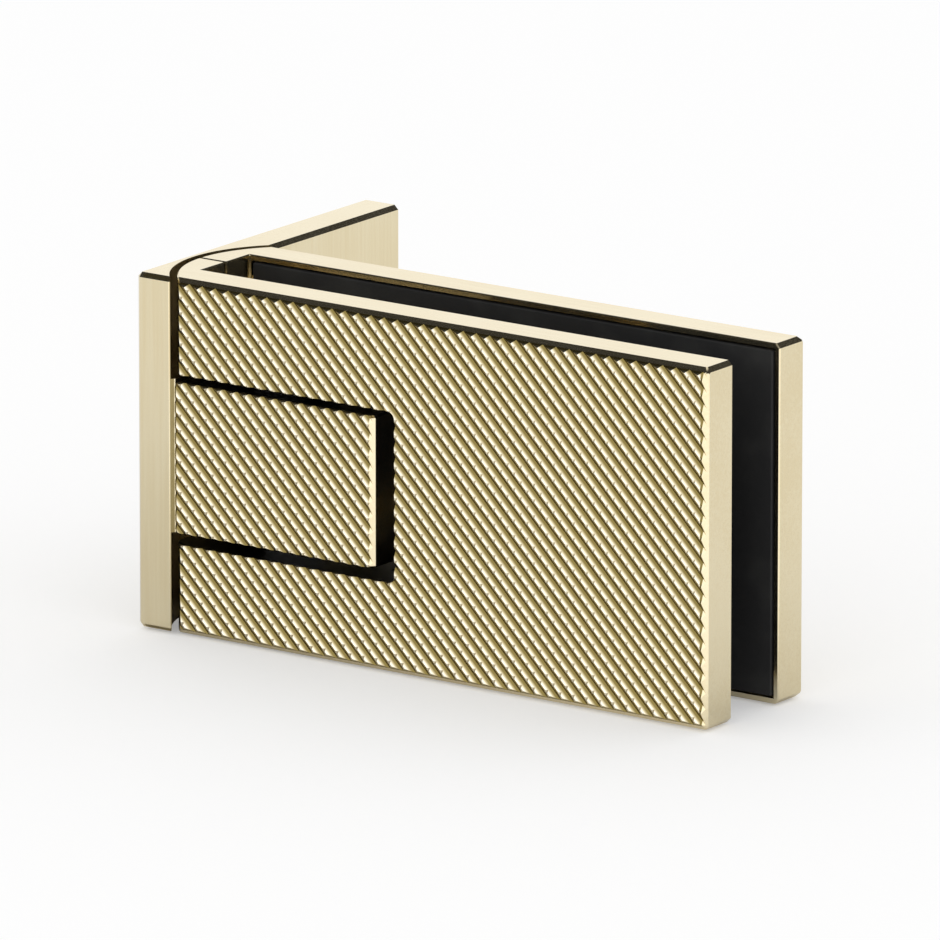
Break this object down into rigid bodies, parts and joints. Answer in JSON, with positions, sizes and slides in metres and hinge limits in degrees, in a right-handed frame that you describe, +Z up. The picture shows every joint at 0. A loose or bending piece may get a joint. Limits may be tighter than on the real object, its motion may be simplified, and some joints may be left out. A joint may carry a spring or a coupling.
{
  "type": "rising hinge for a glass door",
  "caption": "Wall-to-glass rising hinge: a knurled two-plate glass clamp that turns and lifts on a pin in a wall-mounted knuckle.",
  "frame": {"origin": "on the back of the wall plate, level with the pin's axis across the plate and at mid-height", "axes": "+X out of the wall along the closed door, +Y from the knurled front to the back, +Z up along the pin"},
  "size_m": [0.089, 0.05, 0.047],
  "materials": {
    "champagne_brass": "polished pale champagne gold",
    "stainless_steel": "machined",
    "hardened_steel": "dark ground steel with a film of grease",
    "black_rubber": "matt"
  },
  "bodies": {
    "wall_side": {"wall_plate": "champagne_brass", "knuckle": "champagne_brass", "knuckle_screw_1": "stainless_steel", "knuckle_screw_2": "stainless_steel", "knuckle_screw_3": "stainless_steel", "knuckle_screw_4": "stainless_steel", "cam_lock_screw_1": "stainless_steel", "cam_lock_screw_2": "stainless_steel", "fixed_cam": "hardened_steel", "retaining_ring": "stainless_steel"},
    "pivot": {"pivot_pin": "stainless_steel"},
    "door_side": {"front_plate": "champagne_brass", "back_plate": "champagne_brass", "front_gasket": "black_rubber", "back_gasket": "black_rubber", "moving_cam": "hardened_steel", "lower_guide_bush": "hardened_steel", "clamp_screw_1": "stainless_steel", "clamp_screw_2": "stainless_steel", "clamp_screw_3": "stainless_steel", "clamp_screw_4": "stainless_steel"}
  },
  "joints": [
    {"name": "door_swing", "type": "hinge", "parent": "wall_side", "child": "pivot", "pos_m": [0.017, 0, 0], "axis": [0, 0, -1], "range_deg": [0, 90]},
    {"name": "door_rise", "type": "slide", "parent": "pivot", "child": "door_side", "axis": [0, 0, 1], "range_m": [0, 0.0012]}
  ],
  "couplings": [
    {"joint": "door_rise", "follows": "door_swing", "m_per_rad": 0.00076394}
  ]
}
